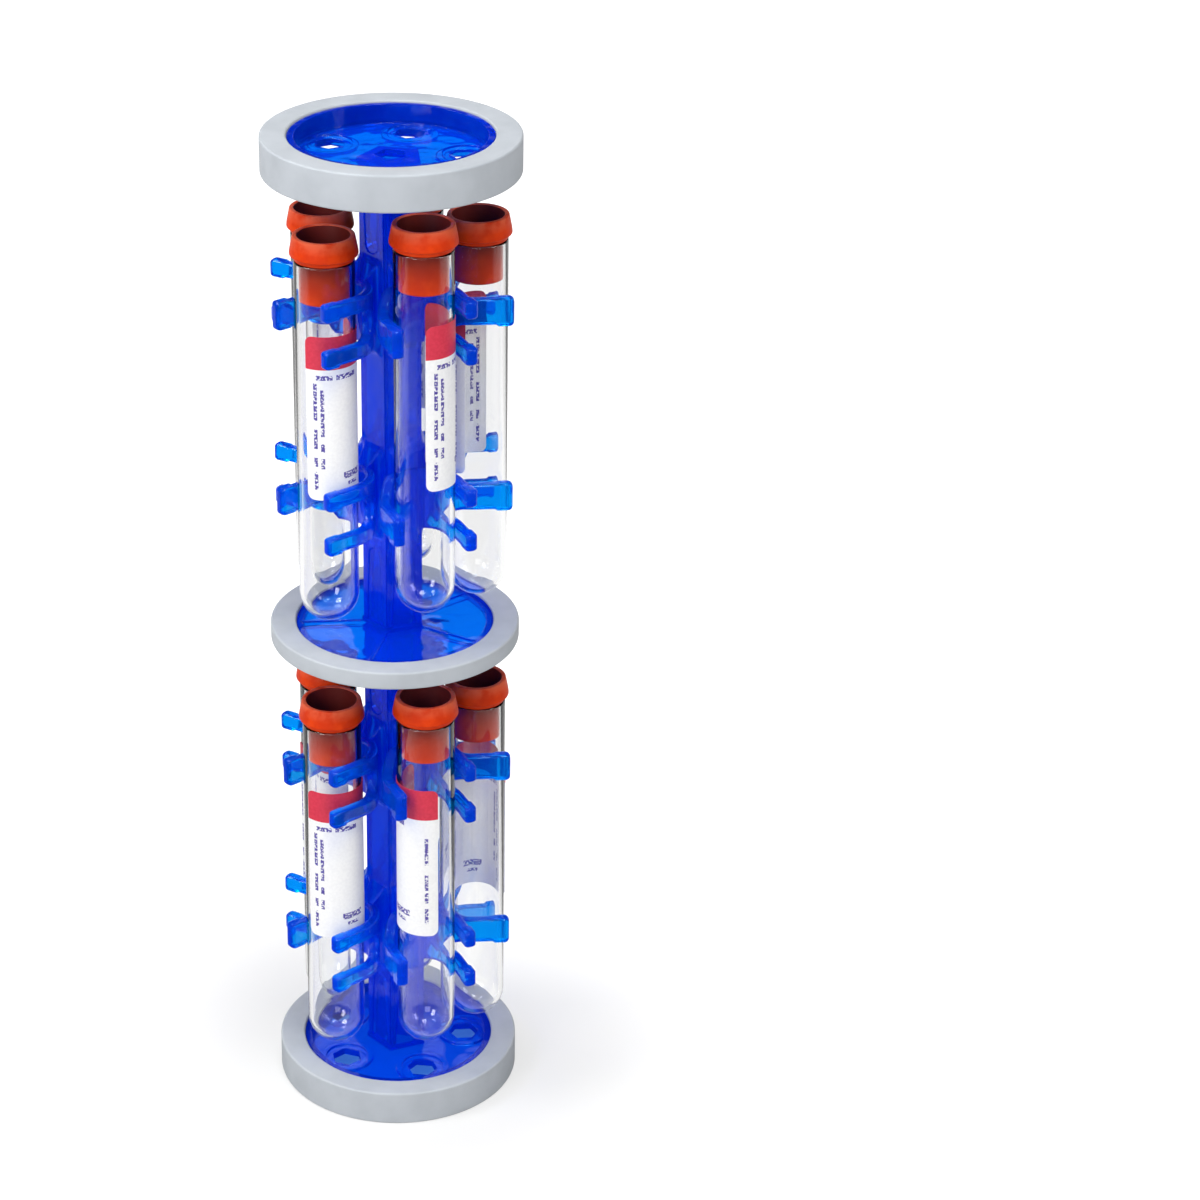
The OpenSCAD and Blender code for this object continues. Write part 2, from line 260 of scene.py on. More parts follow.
floor_look, start, output = finish_named("floor_white")
camera_ray, straight_ray, bent_ray, mirror_ray = ray_kinds(start)
place = place_on(start)
reach = start.node("VectorMath", {"operation": "LENGTH"}, {0: place}, output=1)
open_floor = reach.smooth(27 * mm, 33 * mm)
depth = along(place, backwards)
in_mirror = depth.smooth(-0.04, 0.16) * (1 - DARK_ROOM) + DARK_ROOM
in_glass = depth.smooth(-0.22, -0.06) * (1 - FRONT_ROOM) + FRONT_ROOM
matte = start.node("BsdfDiffuse", None, {"Color": (0.62, 0.62, 0.62, 1)})
shade = start.node("BsdfDiffuse", None, {"Color": FLOOR_SHADE})
glow_level = reach.smooth(40 * mm, 150 * mm) * (1 - FLOOR_GLOW) + FLOOR_GLOW
# Under the rack the glow takes the painted blue light.
glow = start.node("Emission", None, {"Color": open_floor.mix(PAINTED_LIGHT_UNDER_RACK, (1, 1, 1, 1)), "Strength": glow_level})
shown = start.node("AddShader", None, {0: shade, 1: glow})
image = start.node("Emission", None, {
    "Color": open_floor.mix(PAINTED_LIGHT_UNDER_RACK, (1, 1, 1, 1)), "Strength": mirror_ray * in_mirror + bent_ray * in_glass + straight_ray})
picture = start.node("MixShader", None, {0: camera_ray, 1: image, 2: shown})
seen = start.node("MixShader", None, {0: camera_ray + straight_ray + bent_ray + mirror_ray, 1: matte, 2: picture})
floor_look.node_tree.links.new(seen.socket, output.inputs["Surface"])

FLOOR_SIDE = 6
bm = bmesh.new()
bmesh.ops.create_grid(bm, x_segments=1, y_segments=1, size=FLOOR_SIDE / 2)
floor_mesh = bpy.data.meshes.new("floor")
bm.to_mesh(floor_mesh)
bm.free()
floor_mesh.materials.append(floor_look)
floor = bpy.data.objects.new("floor", floor_mesh)
bpy.context.scene.collection.objects.link(floor)


def softbox(name, where, target, width, height, power, shape="RECTANGLE"):
    """A broad lamp that faces a point."""
    lamp = bpy.data.lights.new(name, "AREA")
    lamp.shape = shape
    lamp.size = width
    lamp.size_y = height
    lamp.energy = power
    holder = bpy.data.objects.new(name, lamp)
    holder.location = where
    holder.rotation_euler = (Vector(target) - Vector(where)).to_track_quat("-Z", "Y").to_euler()
    bpy.context.scene.collection.objects.link(holder)


MIDDLE = (0, 0, 0.14)
softbox("softbox_left", (-0.95, -0.6, 0.6), MIDDLE, 0.35, 0.6, 5.5)
softbox("softbox_right", (0.75, -0.75, 0.7), MIDDLE, 0.3, 0.6, 2.2)
softbox("softbox_front", (-0.5, -1.0, 0.35), MIDDLE, 0.5, 0.5, 1.6)
softbox("softbox_back", (-0.35, 0.75, 1.35), MIDDLE, 0.5, 0.5, 3)
softbox("round_lamp_left", (-0.77, 0.1, 1.1), MIDDLE, 0.5, 0.5, 8, "ELLIPSE")
softbox("round_lamp_front", (0.05, -0.51, 1.29), MIDDLE, 0.5, 0.5, 8, "ELLIPSE")

# %% [markdown]
# ## Finishes
#
# Each finish is a few lines: where on the piece we are, how the colour wanders, and how rough the skin is.
# Clear blue plastic takes its colour from depth, so it absorbs light inside as well as tinting it at the skin.
# Its tint is also painted deeper where a piece is thick or backed by the tyre: painted shade.

# %% Clear blue plastic
scene = bpy.context.scene
scene.view_settings.view_transform = "Standard"
scene.cycles.use_denoising = True
scene.cycles.max_bounces = 40
scene.cycles.transmission_bounces = 40
scene.cycles.glossy_bounces = 12
scene.cycles.transparent_max_bounces = 60
scene.cycles.caustics_refractive = False
scene.cycles.caustics_reflective = False


def lit_through(start, skin, tint):
    """Lets lamps and daylight pass straight through a clear piece to what is inside or behind it."""
    path = start.node("LightPath").socket.node.outputs
    shadow_ray, matt_ray = (Wire(start.tree, path[name]) for name in ("Is Shadow Ray", "Is Diffuse Ray"))
    passing = start.node("BsdfTransparent", None, {"Color": tint})
    return start.node("MixShader", None, {0: shadow_ray.math("MAXIMUM", shadow_ray, matt_ray), 1: skin, 2: passing})


PLASTIC_IOR = 1.4
BODY_BLUE = (0.001, 0.05, 0.9, 1)
BODY_SHARE = 0.2


def blue_plastic(name, near, far, change, ripples):
    """Clear blue moulding whose tint goes from near to far between two distances from the rack's axis; the deeper tint
    is painted shade.
    """
    material, start, output = finish_named(name)
    place = place_on(start)
    flat = start.node("VectorMath", {"operation": "MULTIPLY"}, {0: place, 1: (1, 1, 0)})
    reach = start.node("VectorMath", {"operation": "LENGTH"}, {0: flat}, output=1)
    flow = noise(start, place, 90, 3)
    haze = noise(start, place, 700, 4)
    ripple = noise(start, place, 160, 1)
    bump = start.node("Bump", None, {"Height": ripple, "Strength": ripples, "Distance": 2 * mm})
    # Painted shade: the tint turns deeper blue where the piece is thick or backed by the tyre.
    tint = (reach + (flow - 0.5) * 2 * mm).smooth(*change).mix(near, far)
    clear = start.node("BsdfPrincipled", None, {
        "Base Color": tint,
        "Roughness": haze * 0.06 + 0.04,
        "Transmission Weight": 0.96,
        "IOR": PLASTIC_IOR,
        "Normal": bump,
    })
    body = start.node("BsdfDiffuse", None, {"Color": BODY_BLUE, "Normal": bump})
    skin = start.node("MixShader", None, {0: BODY_SHARE, 1: clear, 2: body})
    dye = start.node("VolumeAbsorption", None, {"Color": (0, 0.92, 0.99, 1), "Density": 1000})
    surface = lit_through(start, skin, (0.06, 0.45, 0.9, 1))
    material.node_tree.links.new(surface.socket, output.inputs["Surface"])
    material.node_tree.links.new(dye.socket, output.inputs["Volume"])
    return material


# %% Glass
GLASS_IOR = 1.5


def tube_glass():
    material, start, output = finish_named("tube_glass")
    place = place_on(start)
    smear = noise(start, place, 60, 3)
    skin = start.node("BsdfPrincipled", None, {
        "Base Color": smear.smooth(0.3, 0.8).mix((0.998, 0.999, 1, 1), (0.985, 0.99, 0.995, 1)),
        "Roughness": smear.smooth(0.62, 0.8) * 0.03,
        "Transmission Weight": 1,
        "IOR": GLASS_IOR,
    })
    surface = lit_through(start, skin, (0.99, 0.99, 0.99, 1))
    material.node_tree.links.new(surface.socket, output.inputs["Surface"])
    return material


# %% Rust rubber
def rust_rubber():
    material, start, output = finish_named("rust_rubber")
    place = place_on(start)
    # The hollow share darkens the inside of the stopper: painted shade in the recess.
    hollow = start.node("Attribute", {"attribute_name": "hollow"}, output=2)
    rim = start.node("Attribute", {"attribute_name": "rim"}, output=2)
    cloud = noise(start, place, 260, 3)
    grain = noise(start, place, 2600, 2)
    squash = start.node("Mapping", None, {"Vector": place, "Scale": (0.05, 0.05, 1)})
    rings = noise(start, squash, 1500, 2)
    outside = cloud.smooth(0.35, 0.7).mix(srgb(192, 47, 2), srgb(207, 58, 5))
    # The top rim is paler in cloudy patches.
    paler_rim = (rim * cloud.smooth(0.25, 0.6) * 0.75).mix(outside, srgb(202, 92, 62))
    height = rings * 0.7 + grain * 0.5
    bump = start.node("Bump", None, {"Height": height, "Strength": 0.3, "Distance": 0.14 * mm})
    skin = start.node("BsdfPrincipled", None, {
        # Painted shade: the hollow takes this dark maroon.
        "Base Color": hollow.mix(paler_rim, srgb(98, 28, 22)),
        "Roughness": grain * 0.2 + 0.4,
        "Specular IOR Level": 0.12,
        "Normal": bump,
    })
    material.node_tree.links.new(skin.socket, output.inputs["Surface"])
    return material


# %% Grey rubber
def grey_rubber():
    material, start, output = finish_named("grey_rubber")
    place = place_on(start)
    cloud = noise(start, place, 130, 4)
    grain = noise(start, place, 3200, 2)
    pale, dull = srgb(172, 177, 183), srgb(164, 169, 175)
    bump = start.node("Bump", None, {"Height": grain, "Strength": 0.18, "Distance": 0.1 * mm})
    skin = start.node("BsdfPrincipled", None, {
        "Base Color": cloud.smooth(0.3, 0.75).mix(pale, dull),
        "Roughness": grain * 0.15 + 0.55,
        "Specular IOR Level": 0.3,
        "Normal": bump,
    })
    material.node_tree.links.new(skin.socket, output.inputs["Surface"])
    return material


# %% [markdown]
# A label is printed paper. Its fine print stands for no words: rows of small marks, cut out of noise that runs
# along one line only. The paper lets some light through, so the inside of the sheet stays pale behind the glass.

# %% Printed label paper
LABEL_SIZE = Vector((24.9, 45.9)) * mm
BAND_H = 9.1 * mm
PRINT_ROWS = ((2.7, 3, 33, 0.5), (4.6, 9, 33, 0.5), (21.6, 4, 31, 0.5))
PRINT_BLOCKS = ((5.2, 34.6, 4.4, 1.3), (11.6, 34.6, 6.4, 1.4), (13.4, 6.6, 6.4, 1.9), (13.4, 4.2, 3.6, 1.0))


def fine_print(start, across, up):
    """Rows of small marks up the sheet and a few blocks across it, as a share of ink."""
    spot = start.node("CombineXYZ", None, {0: across, 1: up})
    strokes = noise(start, spot, 1500, 1)
    ink = across * 0
    for seed, (row, foot, head, half) in enumerate(PRINT_ROWS):
        words = start.node("TexNoise", {"noise_dimensions": "1D"}, {"W": up + seed, "Scale": 260, "Detail": 0})
        in_row = abs(across - row * mm) < half * mm
        in_run = (up > foot * mm) * (up < head * mm)
        ink = ink + in_row * in_run * (words > 0.4)
    for middle, height, wide, tall in PRINT_BLOCKS:
        ink = ink + (abs(across - middle * mm) < wide / 2 * mm) * (abs(up - height * mm) < tall / 2 * mm)
    return ink * strokes.smooth(0.4, 0.5)


def label_paper():
    material, start, output = finish_named("label_paper")
    place = place_on(start)
    on_label = start.node("UVMap", {"uv_map": "label"})
    across = start.node("SeparateXYZ", None, {0: on_label}, output=0) * LABEL_SIZE.x
    up = start.node("SeparateXYZ", None, {0: on_label}, output=1) * LABEL_SIZE.y
    fibre = noise(start, place, 1200, 3)
    paper = fibre.smooth(0.3, 0.7).mix(srgb(250, 250, 249), srgb(244, 244, 244))
    red = fibre.smooth(0.25, 0.75).mix(srgb(226, 58, 84), srgb(216, 50, 76))
    violet = fibre.smooth(0.3, 0.7).mix(srgb(84, 72, 160), srgb(104, 94, 176))
    band = up > LABEL_SIZE.y - BAND_H
    printed = fine_print(start, across, up).mix(paper, violet)
    colour = band.mix(printed, red)
    skin = start.node("BsdfPrincipled", None, {"Base Color": colour, "Roughness": fibre * 0.1 + 0.4})
    through = start.node("BsdfTranslucent", None, {"Color": colour})
    sheet = start.node("MixShader", None, {0: 0.22, 1: skin, 2: through})
    material.node_tree.links.new(sheet.socket, output.inputs["Surface"])
    return material


# Painted shade: the deep blue near the rack's axis darkens the thick column, and the arms keep the paler azure.
DEEP_PAINTED_SHADE, AZURE = (0.003, 0.3, 0.97, 1), (0.004, 0.6, 1, 1)
# Painted shade: the plate's rim wall, backed by the tyre, is painted navy.
PLATE_BLUE, NAVY_PAINTED_SHADE = (0.004, 0.36, 0.97, 1), (0.002, 0.06, 0.5, 1)
PLASTIC = blue_plastic("blue_plastic", DEEP_PAINTED_SHADE, AZURE, (12 * mm, 18 * mm), 0.12)
PLATE = blue_plastic("blue_plastic_plate", PLATE_BLUE, NAVY_PAINTED_SHADE, (24.5 * mm, 25.5 * mm), 0.22)
GLASS, RUST, GREY, PAPER = tube_glass(), rust_rubber(), grey_rubber(), label_paper()
print("finishes:", [m.name for m in (PLASTIC, PLATE, GLASS, RUST, GREY, PAPER)])

# %% [markdown]
# ## Turned pieces
#
# Tyres, tubes and stoppers are all round, so each is half a section spun about its axis, as on a lathe. A section
# is a few corner points, and each corner may be rounded by a vertex bevel before the spin.

# %% A small lathe
def turned(name, outline, axis, look, steps=96, close=False, shares=None):
    """Spins corner points (radius, height, rounding) about an upright axis and links the piece."""
    bm = bmesh.new()
    corners = [bm.verts.new((radius, 0, height)) for radius, height, rounding in outline]
    pairs = list(zip(corners, corners[1:]))
    if close:
        pairs.append((corners[-1], corners[0]))
    for pair in pairs:
        bm.edges.new(pair)
    for corner, (radius, height, rounding) in zip(corners, outline):
        if rounding:
            bmesh.ops.bevel(bm, geom=[corner], offset=rounding, offset_type="OFFSET", segments=8, profile=0.5,
                            affect="VERTICES", material=-1)
    bmesh.ops.remove_doubles(bm, verts=bm.verts[:], dist=0.002 * mm)
    bmesh.ops.spin(bm, geom=bm.verts[:] + bm.edges[:], cent=(0, 0, 0), axis=(0, 0, 1), angle=2 * math.pi,
                   steps=steps, use_merge=True)
    bmesh.ops.remove_doubles(bm, verts=bm.verts[:], dist=0.002 * mm)
    bmesh.ops.recalc_face_normals(bm, faces=bm.faces[:])
    for share, rule in (shares or {}).items():
        layer = bm.verts.layers.float.new(share)
        for vert in bm.verts:
            vert[layer] = rule(vert.co.xy.length, vert.co.z)
    bmesh.ops.translate(bm, verts=bm.verts[:], vec=(axis[0], axis[1], 0))
    return linked(name, bm, look)


def linked(name, bm, look, sharp=50):
    """Makes an object of a bmesh, smooth apart from its sharp edges."""
    mesh = bpy.data.meshes.new(name)
    for face in bm.faces:
        face.smooth = True
    bm.to_mesh(mesh)
    bm.free()
    mesh.set_sharp_from_angle(angle=math.radians(sharp))
    mesh.materials.append(look)
    piece = bpy.data.objects.new(name, mesh)
    bpy.context.scene.collection.objects.link(piece)
    return piece


def dress(piece, node, body):
    """The piece stands for a solid and moves with its body, and the solid is hidden."""
    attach(piece, body)
    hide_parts(node)


def centre_of(node):
    low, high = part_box(node)
    return (low + high) / 2


# %% [markdown]
# ## Tyres
#
# Each tyre is a pale rubber ring pushed over its plate. Its corners are rounded a little, and that soft corner is
# what draws the fine light line around the rim.

# %% Spin the tyres
TYRE_W = 7 * mm
TYRE_ROUND = 0.6 * mm

for level in ("bottom", "middle", "top"):
    node = level + "_tyre"
    low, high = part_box(node)
    outer = high.x
    inner = outer - TYRE_W
    outline = [(radius, height, TYRE_ROUND) for radius, height in (
        (inner, low.z), (outer, low.z), (outer, high.z), (inner, high.z))]
    ring = turned(node + "_ring", outline, (0, 0), GREY, steps=160, close=True)
    dress(ring, node, "rack")

# %% [markdown]
# ## Glass tubes
#
# The glass is a real wall with a bore, because light bends twice in it: once at each skin. That is what draws
# the grey edges and the bright bead in the round bottom.

# %% Spin the tubes
TUBE_WALL = 1.1 * mm

for tier in TIERS:
    for number in range(1, SIDES + 1):
        node = f"{tier}_tube_{number}"
        low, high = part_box(node)
        radius = (high.x - low.x) / 2
        bore = radius - TUBE_WALL
        outline = [
            (0, low.z, 0), (radius, low.z, radius), (radius, high.z, 0.48 * TUBE_WALL),
            (bore, high.z, 0.48 * TUBE_WALL), (bore, low.z + TUBE_WALL, bore), (0, low.z + TUBE_WALL, 0)]
        glass = turned(node + "_glass", outline, centre_of(node), GLASS)
        dress(glass, node, node)

# %% [markdown]
# ## Stoppers
#
# The stopper swells out past the glass, leans in to a thin rim, and is hollow so that it can be gripped.

# %% Spin the stoppers
PLUG_LEN = 11 * mm
HOLLOW_DEPTH = 9 * mm

for tier in TIERS:
    for number in range(1, SIDES + 1):
        node = f"{tier}_stopper_{number}"
        tube = f"{tier}_tube_{number}"
        low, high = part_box(node)
        tube_low, tube_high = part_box(tube)
        glass_r = (tube_high.x - tube_low.x) / 2
        swell_r = (high.x - low.x) / 2
        plug_r = glass_r - TUBE_WALL - 0.1 * mm
        seat = low.z + PLUG_LEN
        rim_r = glass_r + 0.05 * mm
        hollow_r = rim_r - 1.1 * mm
        floor_z = high.z - HOLLOW_DEPTH
        outline = [
            (0, low.z, 0), (plug_r, low.z, 0.6 * mm), (plug_r, seat, 0), (glass_r - 0.1 * mm, seat, 0.15 * mm),
            (glass_r + 0.05 * mm, seat + 0.9 * mm, 0.15 * mm), (swell_r, seat + 1.3 * mm, 0.4 * mm),
            (swell_r - 0.12 * mm, seat + 2.6 * mm, 0.7 * mm), (rim_r + 0.05 * mm, high.z, 0.3 * mm),
            (hollow_r, high.z, 0.3 * mm), (hollow_r - 1.2 * mm, floor_z, 1.2 * mm), (0, floor_z, 0)]
        # The hollow share marks where painted shade darkens the recess; the rim share marks the top edge.
        shares = {"hollow": lambda radius, z: float(radius < hollow_r - 0.02 * mm and z > floor_z - 0.01 * mm),
                  "rim": lambda radius, z: float(z > high.z - 0.5 * mm)}
        stopper = turned(node + "_rubber", outline, centre_of(node), RUST, shares=shares)
        dress(stopper, node, node)

# %% [markdown]
# ## Labels
#
# A label is a flat sheet with round corners. It is cut flat, sliced into strips and wrapped around the glass, so
# its print can be laid out flat too.

# %% Wrap the labels
LABEL_T = 0.13 * mm
LABEL_CORNER = 2 * mm
LABEL_STRIPS = 40
LABEL_TURNS = {"lower": (-85, 88, 60, 120, 84), "upper": (69, 154, 70, -100, 100)}


def wrapped_label(name, axis, radius, foot, height, arc, middle):
    """A round-cornered sheet around a tube, its middle at an angle, with a flat map for its print."""
    width = radius * arc
    bm = bmesh.new()
    bmesh.ops.create_grid(bm, x_segments=1, y_segments=1, size=0.5)
    bmesh.ops.scale(bm, vec=(width, height, 1), verts=bm.verts[:])
    bmesh.ops.bevel(bm, geom=bm.verts[:], offset=LABEL_CORNER, offset_type="OFFSET", segments=6, profile=0.5,
                    affect="VERTICES", material=-1)
    for strip in range(1, LABEL_STRIPS):
        cut = (strip / LABEL_STRIPS - 0.5) * width
        bmesh.ops.bisect_plane(bm, geom=bm.verts[:] + bm.edges[:] + bm.faces[:], plane_co=(cut, 0, 0),
                               plane_no=(1, 0, 0), dist=0.001 * mm)
    flat_map = bm.loops.layers.uv.new("label")
    for face in bm.faces:
        for loop in face.loops:
            loop[flat_map].uv = (loop.vert.co.x / width + 0.5, loop.vert.co.y / height + 0.5)
    for vert in bm.verts:
        angle = middle + vert.co.x / radius
        vert.co = (axis[0] + radius * math.cos(angle), axis[1] + radius * math.sin(angle),
                   foot + vert.co.y + height / 2)
    bmesh.ops.recalc_face_normals(bm, faces=bm.faces[:])
    bmesh.ops.solidify(bm, geom=bm.faces[:], thickness=LABEL_T)
    return linked(name, bm, PAPER, sharp=60)


for tier in TIERS:
    for number, turn in zip(range(1, SIDES + 1), LABEL_TURNS[tier]):
        node = f"{tier}_label_{number}"
        tube = f"{tier}_tube_{number}"
        low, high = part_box(node)
        tube_low, tube_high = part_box(tube)
        radius = (tube_high.x - tube_low.x) / 2 + 0.02 * mm + LABEL_T
        facing = math.radians(-90 + 72 * (number - 1) + turn)
        arc = LABEL_SIZE.x / radius
        label = wrapped_label(node + "_sheet", centre_of(tube), radius, low.z, high.z - low.z, arc, facing)
        dress(label, node, tube)

# %% [markdown]
# ## Clip panels
#
# Each panel is one moulding: a wall of the column with two clips on stems. An arm is a rounded section drawn along
# a path, so a face is extruded a step at a time, turned, moved and scaled, as a potter pulls a handle. The slot
# between the forked fingers and the flare of the wide arm are only the section's height changing along the way.

# %% Arms and pads
TUBE_CIRCLE = 22.5 * mm
COLUMN_APOTHEM = 7 * mm
PANEL_T = 2 * mm
PANEL_LEN = 128.7 * mm
CLIP_ZS = (39.5 * mm, 92.2 * mm)
CLIP_R = 8.45 * mm
CLIP_BACK = 1.5 * mm
SLOT_DEPTH = 8.4 * mm
ARM_T = 3 * mm
ARM_REACH = 8.7 * mm
ARM_EDGE = 1.2 * mm
FORK_H = 4.3 * mm
FORK_SLOT = 8.5 * mm
WIDE_H = 7.3 * mm
PAD_LEN = 4.8 * mm
PAD_STEP = 0.7 * mm
PAD_SWELL = 0.35 * mm
PAD_ROUND = 1.3 * mm
SKIN = 0.02 * mm
ARC_STEPS = 16
clip_half_h = FORK_SLOT / 2 + FORK_H
round_centre = Vector((-CLIP_BACK, 0, 0))
mid_r = CLIP_R + ARM_T / 2


def about(point, matrix):
    """The same turn or scaling, with a point held still."""
    return Matrix.Translation(point) @ matrix @ Matrix.Translation(-Vector(point))


def drawn(bm, face, move):
    """Draws a face out by one move and returns the new end face."""
    end = bmesh.ops.extrude_discrete_faces(bm, faces=[face])["faces"][0]
    bmesh.ops.transform(bm, matrix=move, verts=end.verts[:])
    return end


def closed(bm):
    """Fills the open ends and turns every face outwards."""
    rims = [edge for edge in bm.edges if edge.is_boundary]
    bmesh.ops.holes_fill(bm, edges=rims, sides=0)
    bmesh.ops.recalc_face_normals(bm, faces=bm.faces[:])
    return bm


def hollow(x, end, radius):
    """Half the height at x of a slot with a round end."""
    reach = x - end
    return math.sqrt(reach * (2 * radius - reach)) if 0 < reach < radius else radius * (reach > 0)


def fork_height(x):
    return clip_half_h - hollow(x, -SLOT_DEPTH, FORK_SLOT / 2)


def wide_height(x):
    return 2 * (clip_half_h - hollow(x, -SLOT_DEPTH, clip_half_h - WIDE_H / 2))


def arm(side, start, height_at, low, high, held_z, skin):
    """One arm: around behind the tube, along its flank, then a pad with a round tip."""
    bm = bmesh.new()
    inner, outer = CLIP_R + skin, CLIP_R + ARM_T - skin
    corners = [bm.verts.new((radius, 0, z)) for radius, z in ((inner, low), (outer, low), (outer, high), (inner, high))]
    bm.faces.new(corners)
    bmesh.ops.bevel(bm, geom=corners, offset=ARM_EDGE, offset_type="OFFSET", segments=5, profile=0.5,
                    affect="VERTICES", material=-1)
    place = Matrix.Translation(round_centre) @ Matrix.Rotation(side * start, 4, "Z")
    bmesh.ops.transform(bm, matrix=place, verts=bm.verts[:])
    bm.faces.ensure_lookup_table()
    face = bm.faces[0]
    height = high - low
    turn = (start - math.pi / 2) / ARC_STEPS
    for step in range(1, ARC_STEPS + 1):
        angle = start - step * turn
        taller = height_at(mid_r * math.cos(angle) - CLIP_BACK) / height
        swing = about(round_centre, Matrix.Rotation(-side * turn, 4, "Z"))
        face = drawn(bm, face, swing @ about((0, 0, held_z), Matrix.Diagonal((1, 1, taller, 1))))
        height *= taller
    run = (CLIP_BACK + ARM_REACH - PAD_LEN) / 4
    for step in range(1, 5):
        taller = height_at(step * run - CLIP_BACK) / height
        ahead = Matrix.Translation((run, 0, 0))
        face = drawn(bm, face, ahead @ about((0, 0, held_z), Matrix.Diagonal((1, 1, taller, 1))))
        height *= taller
    middle = face.calc_center_bounds()
    palm = Vector((0, side * CLIP_R, middle.z))
    pad_t, pad_h = ARM_T + PAD_SWELL, height + 2 * PAD_SWELL
    swell = about(palm, Matrix.Diagonal((1, pad_t / ARM_T, pad_h / height, 1)))
    face = drawn(bm, face, Matrix.Translation((PAD_STEP, 0, 0)) @ swell)
    face = drawn(bm, face, Matrix.Translation((PAD_LEN - PAD_STEP - PAD_ROUND, 0, 0)))
    tip = Vector((0, side * (CLIP_R + pad_t / 2), middle.z))
    before = Vector((0, pad_t, pad_h))
    for step in range(1, 7):
        angle = math.radians(15 * step)
        inset = 2 * PAD_ROUND * (1 - math.cos(angle)) * 0.95
        now = Vector((PAD_ROUND * math.sin(angle), pad_t - inset, pad_h - inset))
        ahead = Matrix.Translation((now.x - before.x, 0, 0))
        face = drawn(bm, face, ahead @ about(tip, Matrix.Diagonal((1, now.y / before.y, now.z / before.z, 1))))
        before = now
    return closed(bm)


# %% [markdown]
# The stem is a wedge that carries the clip, with a small hollow fillet where it leaves the wall. The wall has a
# tapered notch at each end, where a tongue of the plate holds it.

# %% Stem
STEM_ROOT_T = 7 * mm
STEM_TIP_T = 4.4 * mm
STEM_RISE = 4.5 * mm
STEM_EDGE = 0.8 * mm
FILLET = 1.2 * mm


def stem():
    """Wedge from the panel to the back of a clip, with its root flared into the panel."""
    bm = bmesh.new()
    root = COLUMN_APOTHEM - TUBE_CIRCLE
    tip = -CLIP_BACK - mid_r
    length = tip - root
    half_h = clip_half_h + STEM_RISE
    corners = [bm.verts.new((root - PANEL_T / 2, y * STEM_ROOT_T / 2, z * half_h))
               for y, z in ((-1, -1), (1, -1), (1, 1), (-1, 1))]
    bm.faces.new(corners)
    bmesh.ops.bevel(bm, geom=corners, offset=STEM_EDGE, offset_type="OFFSET", segments=4, profile=0.5,
                    affect="VERTICES", material=-1)
    bm.faces.ensure_lookup_table()
    face = bm.faces[0]
    flare = Matrix.Diagonal((1, 1 + 2 * FILLET / STEM_ROOT_T, 1 + FILLET / half_h, 1))
    bmesh.ops.transform(bm, matrix=flare, verts=face.verts[:])
    face = drawn(bm, face, Matrix.Translation((PANEL_T / 2, 0, 0)))
    size = Vector((STEM_ROOT_T + 2 * FILLET, half_h + FILLET))
    steps = 6
    x = 0
    for step in range(1, steps + 1):
        angle = math.radians(90 * step / steps)
        out = FILLET * (1 - math.sin(angle))
        ahead = FILLET * (1 - math.cos(angle))
        share = ahead / length
        wanted = Vector((STEM_ROOT_T + (STEM_TIP_T - STEM_ROOT_T) * share + 2 * out,
                         half_h + (clip_half_h - half_h) * share + out))
        face = drawn(bm, face, Matrix.Translation((ahead - x, 0, 0)) @
                     Matrix.Diagonal((1, wanted.x / size.x, wanted.y / size.y, 1)))
        size, x = wanted, ahead
    drawn(bm, face, Matrix.Translation((length - x, 0, 0)) @
          Matrix.Diagonal((1, STEM_TIP_T / size.x, (clip_half_h - 0.3 * mm) / size.y, 1)))
    return closed(bm)


# %% Wall
NOTCH_H = 22.15 * mm
NOTCH_FOOT = 3.45 * mm
NOTCH_TIP = 2.27 * mm
PANEL_EDGE = 0.25 * mm


def slab():
    """The panel's flat wall: one side of the column, with a tapered notch at each end."""
    bm = bmesh.new()
    mitre = math.tan(math.pi / SIDES)
    half = COLUMN_APOTHEM * mitre - 0.05 * mm
    lower = [(-half, 0), (-NOTCH_FOOT, 0), (-NOTCH_TIP, NOTCH_H), (NOTCH_TIP, NOTCH_H), (NOTCH_FOOT, 0), (half, 0)]
    outline = lower + [(-y, PANEL_LEN - z) for y, z in lower]
    corners = [bm.verts.new((COLUMN_APOTHEM, y, z)) for y, z in outline]
    bm.faces.new(corners)
    tips = [corner for corner in corners if abs(corner.co.y) == NOTCH_TIP or abs(abs(corner.co.y) - NOTCH_TIP) < 1e-7]
    bmesh.ops.bevel(bm, geom=tips, offset=NOTCH_TIP * 0.93, offset_type="OFFSET", segments=10, profile=0.5,
                    affect="VERTICES", material=-1)
    bm.faces.ensure_lookup_table()
    back = drawn(bm, bm.faces[0], Matrix.Translation((-PANEL_T, 0, 0)))
    edges = [vert for vert in back.verts if abs(vert.co.y) > half - 1e-6]
    narrow = 1 - PANEL_T / COLUMN_APOTHEM
    bmesh.ops.scale(bm, vec=(1, narrow, 1), verts=edges)
    closed(bm)
    front = [edge for edge in bm.edges if all(abs(vert.co.x - COLUMN_APOTHEM) < 1e-7 for vert in edge.verts)]
    bmesh.ops.bevel(bm, geom=front, offset=PANEL_EDGE, offset_type="OFFSET", segments=3, profile=0.5,
                    affect="EDGES", material=-1)
    return bm


# %% [markdown]
# The pieces overlap a little and a Boolean union makes one skin of them. That matters for clear plastic, because
# a skin left inside would show as a seam. The first panel is then copied around both tiers.

# %% Join and copy the panels
def mesh_of(bm, name):
    mesh = bpy.data.meshes.new(name)
    bm.to_mesh(mesh)
    bm.free()
    return mesh


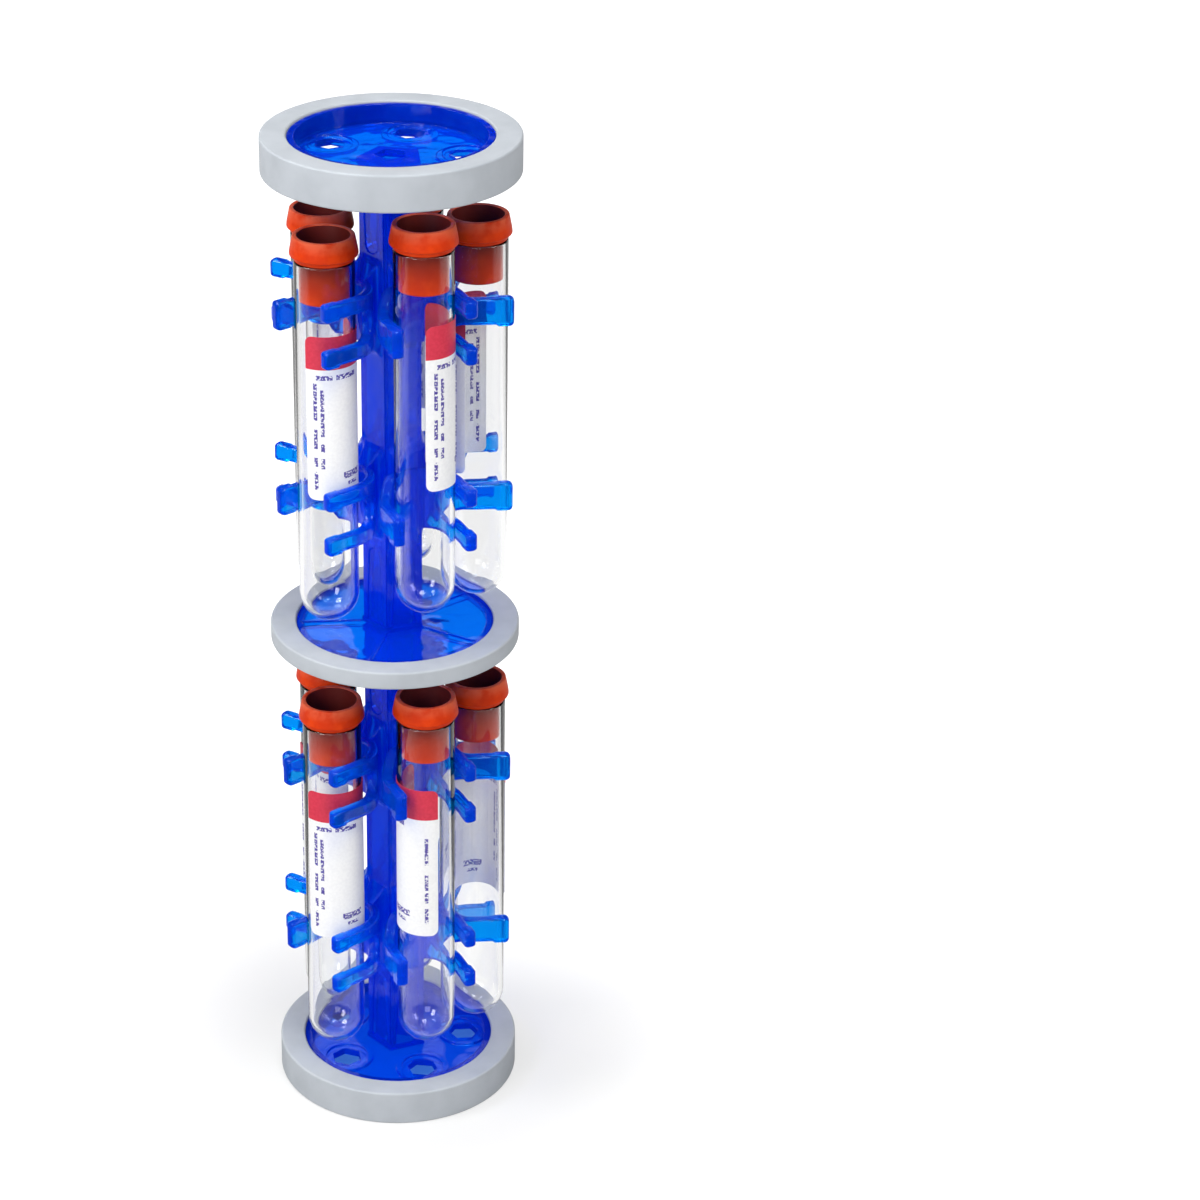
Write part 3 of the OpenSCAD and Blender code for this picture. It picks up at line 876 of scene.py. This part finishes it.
def one_skin(first, second):
    """The union of two meshes as one closed mesh."""
    holders = [bpy.data.objects.new(mesh.name, mesh) for mesh in (first, second)]
    for holder in holders:
        bpy.context.scene.collection.objects.link(holder)
    union = holders[0].modifiers.new("union", "BOOLEAN")
    union.operation = "UNION"
    union.solver = "EXACT"
    union.use_self = True
    union.object = holders[1]
    joined = bpy.data.meshes.new_from_object(holders[0].evaluated_get(bpy.context.evaluated_depsgraph_get()))
    for holder in holders:
        bpy.data.objects.remove(holder)
    return joined


saddle = math.acos((CLIP_BACK - SLOT_DEPTH) / mid_r)
solids = [stem(), arm(-1, 2 * math.pi - saddle, wide_height, -clip_half_h, clip_half_h, 0, 0)]
for way in (-1, 1):
    reach = (clip_half_h - SKIN) * way
    solids.append(arm(1, saddle + math.radians(14), fork_height, min(0, reach), max(0, reach), reach, SKIN))
clips = bmesh.new()
for solid in solids:
    one_clip = mesh_of(solid, "clip")
    one_clip.transform(Matrix.Translation((TUBE_CIRCLE, 0, CLIP_ZS[0])))
    clips.from_mesh(one_clip)
    one_clip.transform(Matrix.Translation((0, 0, CLIP_ZS[1] - CLIP_ZS[0])))
    clips.from_mesh(one_clip)
panel_skin = one_skin(mesh_of(slab(), "wall"), mesh_of(clips, "clips"))

for tier in TIERS:
    for number in range(1, SIDES + 1):
        node = f"{tier}_panel_{number}"
        low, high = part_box(node)
        bm = bmesh.new()
        bm.from_mesh(panel_skin)
        bmesh.ops.remove_doubles(bm, verts=bm.verts[:], dist=0.005 * mm)
        turn = Matrix.Rotation(math.radians(-90 + 72 * (number - 1)), 4, "Z")
        bmesh.ops.transform(bm, matrix=Matrix.Translation((0, 0, low.z)) @ turn, verts=bm.verts[:])
        panel = linked(node + "_clips", bm, PLASTIC, sharp=40)
        panel.modifiers.new("flat faces", "WEIGHTED_NORMAL").keep_sharp = True
        dress(panel, node, "rack")
print("panel faces:", len(panel_skin.polygons))

# %% [markdown]
# ## Plates and hubs
#
# The plates are right as solids, but a real moulding has no sharp edge. A merged copy of each solid gets a small
# round along every sharp edge, which is what catches the light. Edges that are not shared by just two faces are
# left alone.

# %% Soften the plates
PLATE_EDGE = 0.15 * mm


def softened(node, edge):
    """A merged copy of a solid with its sharp edges rounded."""
    bm = bmesh.new()
    bm.from_mesh(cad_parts[node].data)
    bmesh.ops.remove_doubles(bm, verts=bm.verts[:], dist=0.002 * mm)
    sharp = [rim for rim in bm.edges if rim.is_manifold and rim.calc_face_angle() > math.radians(35)]
    bmesh.ops.bevel(bm, geom=sharp, offset=edge, offset_type="OFFSET", segments=2, profile=0.5,
                    affect="EDGES", material=-1)
    bmesh.ops.dissolve_degenerate(bm, dist=0.001 * mm, edges=bm.edges[:])
    return bm


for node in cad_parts:
    if node.endswith("_plate"):
        plate = linked(node + "_moulding", softened(node, PLATE_EDGE), PLATE, sharp=40)
        plate.modifiers.new("flat faces", "WEIGHTED_NORMAL").keep_sharp = True
        dress(plate, node, "rack")
    if node.endswith("_hub"):
        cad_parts[node].data.materials.clear()
        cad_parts[node].data.materials.append(PLASTIC)
